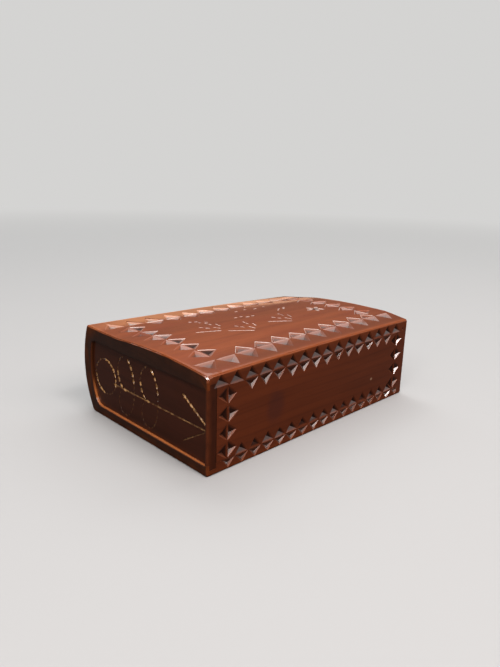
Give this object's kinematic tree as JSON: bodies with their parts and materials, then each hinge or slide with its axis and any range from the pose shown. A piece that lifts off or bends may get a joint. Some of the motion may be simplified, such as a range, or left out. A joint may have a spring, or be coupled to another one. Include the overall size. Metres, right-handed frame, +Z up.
{
  "type": "book-shaped trinket box",
  "caption": "Small wooden jewelry box shaped like a closed book, chip-carved borders, crowned top, rounded spine, and an end panel that slides open sideways.",
  "frame": {"origin": "middle of the footprint, on the table", "axes": "+X along the length from the sliding end to the fixed end, +Y from the carved fore-edge to the rounded spine, +Z up"},
  "size_m": [0.12, 0.081, 0.0386],
  "materials": {
    "top_wood": "polished reddish-brown wood with fine lengthwise grain",
    "side_wood": "darker polished reddish-brown wood, waxed and worn at the edges",
    "end_wood": "very dark polished wood with incised lines"
  },
  "bodies": {
    "box": {"top_cover": "top_wood", "bottom_cover": "side_wood", "spine": "side_wood", "fore_edge": "side_wood", "fixed_end": "end_wood"},
    "slide": {"sliding_end": "end_wood"}
  },
  "joints": [
    {"name": "end_slide", "type": "slide", "parent": "box", "child": "slide", "axis": [0, -1, 0], "range_m": [0, 0.062]}
  ]
}
